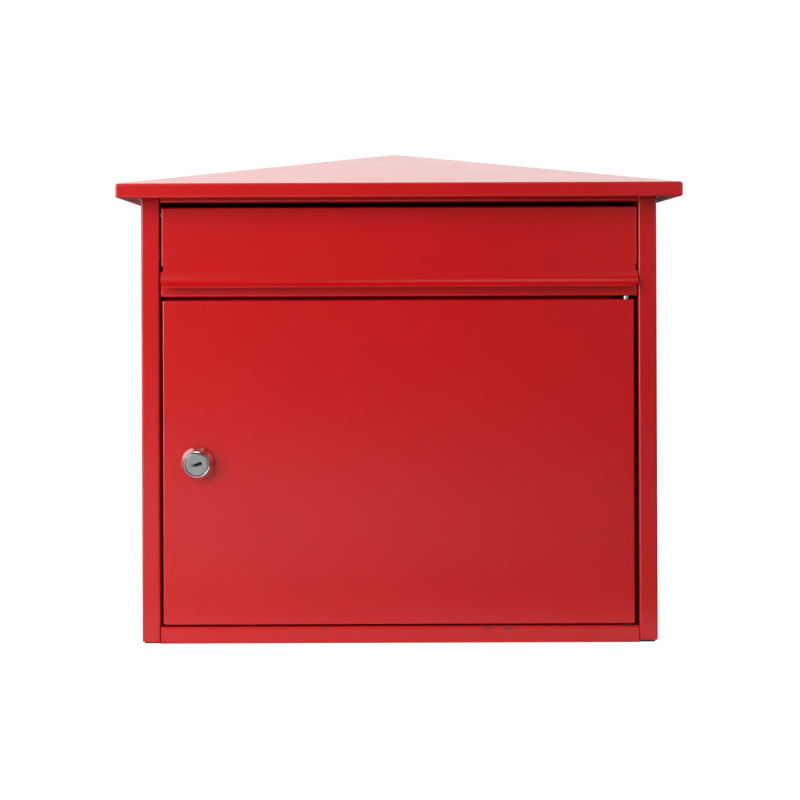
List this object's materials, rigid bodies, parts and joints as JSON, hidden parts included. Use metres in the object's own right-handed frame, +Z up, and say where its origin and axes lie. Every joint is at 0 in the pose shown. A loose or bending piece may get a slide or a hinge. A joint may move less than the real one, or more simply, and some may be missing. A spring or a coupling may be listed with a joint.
{
  "type": "wall letterbox",
  "caption": "Sheet-steel wall letterbox with a low hipped roof, a top-hung letter flap above a side-hung door, and a cam lock.",
  "frame": {"origin": "on the underside, in the middle of the width, halfway between the roof's front edge and the wall", "axes": "+X to the right seen from the front, +Y towards the wall, +Z up"},
  "size_m": [0.4, 0.2, 0.366],
  "materials": {
    "red_paint": "satin red powder coat",
    "chrome": "polished",
    "zinc_steel": "bright zinc plate",
    "nylon": "matt black",
    "rubber": "matt black"
  },
  "bodies": {
    "cabinet": {"roof": "red_paint", "left_side_panel": "red_paint", "right_side_panel": "red_paint", "back_panel": "red_paint", "base_tray": "red_paint", "header_rail": "red_paint", "cross_bar": "red_paint", "flap_bush_left": "nylon", "flap_bush_right": "nylon", "flap_buffer_left": "rubber", "flap_buffer_right": "rubber", "door_buffer_top": "rubber", "door_buffer_bottom": "rubber", "door_pin_top": "zinc_steel", "door_pin_bottom": "zinc_steel", "door_washer": "nylon"},
    "flap": {"flap": "red_paint", "flap_rod": "zinc_steel", "flap_clip_left": "zinc_steel", "flap_clip_right": "zinc_steel"},
    "door": {"door": "red_paint", "lock_housing": "chrome", "lock_gasket": "rubber", "lock_nut": "zinc_steel"},
    "lock_core": {"lock_plug": "chrome", "lock_cam": "zinc_steel", "cam_washer": "zinc_steel", "cam_screw": "zinc_steel"}
  },
  "joints": [
    {"name": "door_swing", "type": "hinge", "parent": "cabinet", "child": "door", "pos_m": [0.1636, -0.075, 0.13], "axis": [0, 0, 1], "range_deg": [0, 105]},
    {"name": "flap_swing", "type": "hinge", "parent": "cabinet", "child": "flap", "pos_m": [0, -0.074, 0.308], "axis": [-1, 0, 0], "range_deg": [0, 85]},
    {"name": "lock_turn", "type": "hinge", "parent": "door", "child": "lock_core", "pos_m": [-0.1447, -0.08, 0.1294], "axis": [0, 1, 0], "range_deg": [0, 90]}
  ]
}
